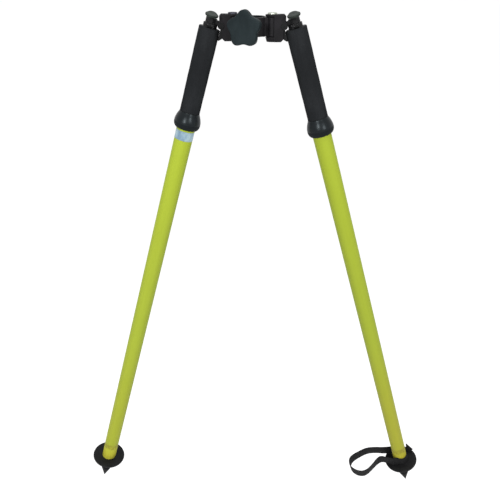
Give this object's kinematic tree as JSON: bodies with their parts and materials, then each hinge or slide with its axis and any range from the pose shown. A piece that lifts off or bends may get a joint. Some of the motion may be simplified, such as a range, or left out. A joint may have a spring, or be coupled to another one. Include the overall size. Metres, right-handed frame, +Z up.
{
  "type": "prism pole bipod",
  "caption": "Bipod for a surveying prism pole: clamp head with a star knob, swinging yokes and telescopic legs with thumb locks, foam grips and spiked feet.",
  "frame": {"origin": "on the clamped pole's axis, at the middle of the clamp head's height", "axes": "+Z up along the pole, -Y towards the clamp knob, X through the two upright pivot bolts"},
  "size_m": [0.7926, 0.2638, 1.1086],
  "materials": {
    "head_paint": "black powder coat on a cast alloy, satin with a fine orange peel",
    "liner_rubber": "matt black rubber",
    "bronze": "plain bronze bush, turned",
    "pad_plastic": "matt black moulded nylon",
    "zinc": "bright zinc plated steel",
    "knob_plastic": "dark grey moulded plastic, lightly textured",
    "insert_brass": "turned brass",
    "nylon": "off-white nylon",
    "steel": "ground steel",
    "dark_alloy": "black anodised alloy, satin",
    "rod_alloy": "clear anodised alloy tube with fine draw lines",
    "leg_yellow": "fluorescent yellow powder coat on alloy tube, semi-gloss",
    "lever_alloy": "dark grey alloy, worn edges",
    "thumb_coat": "dark green-grey coat, thumb-worn top",
    "grip_foam": "matt black closed-cell foam sleeve",
    "collar_rubber": "semi-gloss black moulded rubber",
    "foot_paint": "black coated steel plate, scuffed rim",
    "point_steel": "dark forged steel point, worn tip",
    "label_foil": "pale blue-silver blank foil band",
    "webbing": "black woven nylon webbing with stitched ends"
  },
  "bodies": {
    "head": {"head_casting": "head_paint", "pole_liner": "liner_rubber", "pivot_bushes": "bronze"},
    "jaw": {"clamp_pad": "pad_plastic"},
    "knob": {"clamp_screw": "zinc", "clamp_knob": "knob_plastic", "knob_insert": "insert_brass"},
    "left_yoke": {"left_yoke": "head_paint", "left_pivot_bolt": "zinc", "left_pivot_nut": "zinc", "left_pivot_washers": "nylon", "left_hinge_pin": "steel", "left_hinge_clip": "steel"},
    "left_rod": {"left_rod_head": "dark_alloy", "left_inner_rod": "rod_alloy", "left_rod_pin": "steel", "left_rod_bush": "nylon"},
    "left_leg": {"left_leg_tube": "leg_yellow", "left_lock_housing": "dark_alloy", "left_lock_cap": "dark_alloy", "left_guide_bush": "nylon", "left_lock_spring": "steel", "left_lever_pin": "zinc", "left_grip": "grip_foam", "left_collar": "collar_rubber", "left_foot_plug": "rod_alloy", "left_foot_plate": "foot_paint", "left_foot_point": "point_steel", "label_band": "label_foil"},
    "left_lever": {"left_thumb_lever": "lever_alloy", "left_thumb_pad": "thumb_coat"},
    "left_plate": {"left_lock_plate": "steel"},
    "right_yoke": {"right_yoke": "head_paint", "right_pivot_bolt": "zinc", "right_pivot_nut": "zinc", "right_pivot_washers": "nylon", "right_hinge_pin": "steel", "right_hinge_clip": "steel"},
    "right_rod": {"right_rod_head": "dark_alloy", "right_inner_rod": "rod_alloy", "right_rod_pin": "steel", "right_rod_bush": "nylon"},
    "right_leg": {"right_leg_tube": "leg_yellow", "right_lock_housing": "dark_alloy", "right_lock_cap": "dark_alloy", "right_guide_bush": "nylon", "right_lock_spring": "steel", "right_lever_pin": "zinc", "right_grip": "grip_foam", "right_collar": "collar_rubber", "right_foot_plug": "rod_alloy", "right_foot_plate": "foot_paint", "right_foot_point": "point_steel", "carry_strap": "webbing"},
    "right_lever": {"right_thumb_lever": "lever_alloy", "right_thumb_pad": "thumb_coat"},
    "right_plate": {"right_lock_plate": "steel"}
  },
  "joints": [
    {"name": "clamp_slide", "type": "slide", "parent": "head", "child": "jaw", "axis": [0, 1, 0], "range_m": [-0.0031, 0.0051]},
    {"name": "knob_turn", "type": "hinge", "parent": "jaw", "child": "knob", "pos_m": [0, -0.03, 0], "axis": [0, 1, 0], "range_deg": [-864, 1440]},
    {"name": "left_swing", "type": "hinge", "parent": "head", "child": "left_yoke", "pos_m": [-0.03302, 0, 0], "axis": [0, 0, 1], "range_deg": [-61, 24]},
    {"name": "left_splay", "type": "hinge", "parent": "left_yoke", "child": "left_rod", "pos_m": [-0.0511, -0.00518, 0.001], "axis": [-0.2756, 0.9613, 0], "range_deg": [-16.7, 23.3]},
    {"name": "left_extend", "type": "slide", "parent": "left_rod", "child": "left_leg", "axis": [-0.2762, -0.0792, -0.9578], "range_m": [0, 0.7]},
    {"name": "left_press", "type": "hinge", "parent": "left_leg", "child": "left_lever", "pos_m": [-0.06348, -0.02507, 0.00361], "axis": [0.9207, 0.264, -0.2874], "range_deg": [0, 10], "stiffness_Nm_per_rad": 0.5, "springref_deg": -5.73},
    {"name": "left_grip_tilt", "type": "hinge", "parent": "left_leg", "child": "left_plate", "pos_m": [-0.07125, -0.00077, 0.00102], "axis": [0.9207, 0.264, -0.2874], "range_deg": [-2.86, 0.01]},
    {"name": "right_swing", "type": "hinge", "parent": "head", "child": "right_yoke", "pos_m": [0.03302, 0, 0], "axis": [0, 0, 1], "range_deg": [-56, 29]},
    {"name": "right_splay", "type": "hinge", "parent": "right_yoke", "child": "right_rod", "pos_m": [0.0511, 0.00518, 0.001], "axis": [0.2756, -0.9613, 0], "range_deg": [-16.7, 23.3]},
    {"name": "right_extend", "type": "slide", "parent": "right_rod", "child": "right_leg", "axis": [0.2762, 0.0792, -0.9578], "range_m": [0, 0.7]},
    {"name": "right_press", "type": "hinge", "parent": "right_leg", "child": "right_lever", "pos_m": [0.07214, -0.00512, 0.00361], "axis": [0.9207, 0.264, 0.2874], "range_deg": [0, 10], "stiffness_Nm_per_rad": 0.5, "springref_deg": -5.73},
    {"name": "right_grip_tilt", "type": "hinge", "parent": "right_leg", "child": "right_plate", "pos_m": [0.06585, 0.01961, 0.00102], "axis": [0.9207, 0.264, 0.2874], "range_deg": [-2.86, 0.01]}
  ],
  "couplings": [
    {"joint": "clamp_slide", "follows": "knob_turn", "m_per_rad": 0.00019894},
    {"joint": "left_grip_tilt", "follows": "left_press", "ratio": -0.285},
    {"joint": "right_grip_tilt", "follows": "right_press", "ratio": -0.285}
  ]
}
